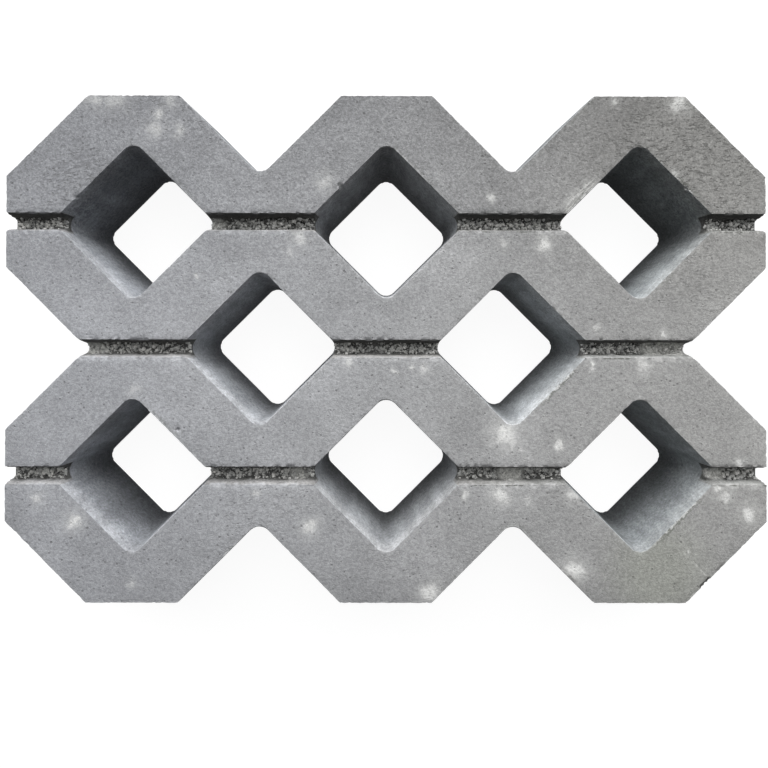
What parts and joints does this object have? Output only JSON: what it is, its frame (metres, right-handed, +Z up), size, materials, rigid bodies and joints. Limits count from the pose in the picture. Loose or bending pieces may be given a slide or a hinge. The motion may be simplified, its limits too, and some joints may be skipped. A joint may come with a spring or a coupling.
{
  "type": "grass paver",
  "caption": "Flat cast concrete paving block with a staggered grid of cornerwise through-openings for grass and straight grooves across its top.",
  "frame": {"origin": "centre of the block's outline, on its underside", "axes": "+X along the length, to the right in the picture; +Y across the width, to the top of the picture; +Z up, out of the grooved top face"},
  "size_m": [0.6, 0.4, 0.08],
  "materials": {
    "concrete": "matte"
  },
  "bodies": {
    "root": {"paver": "concrete"}
  },
  "joints": []
}
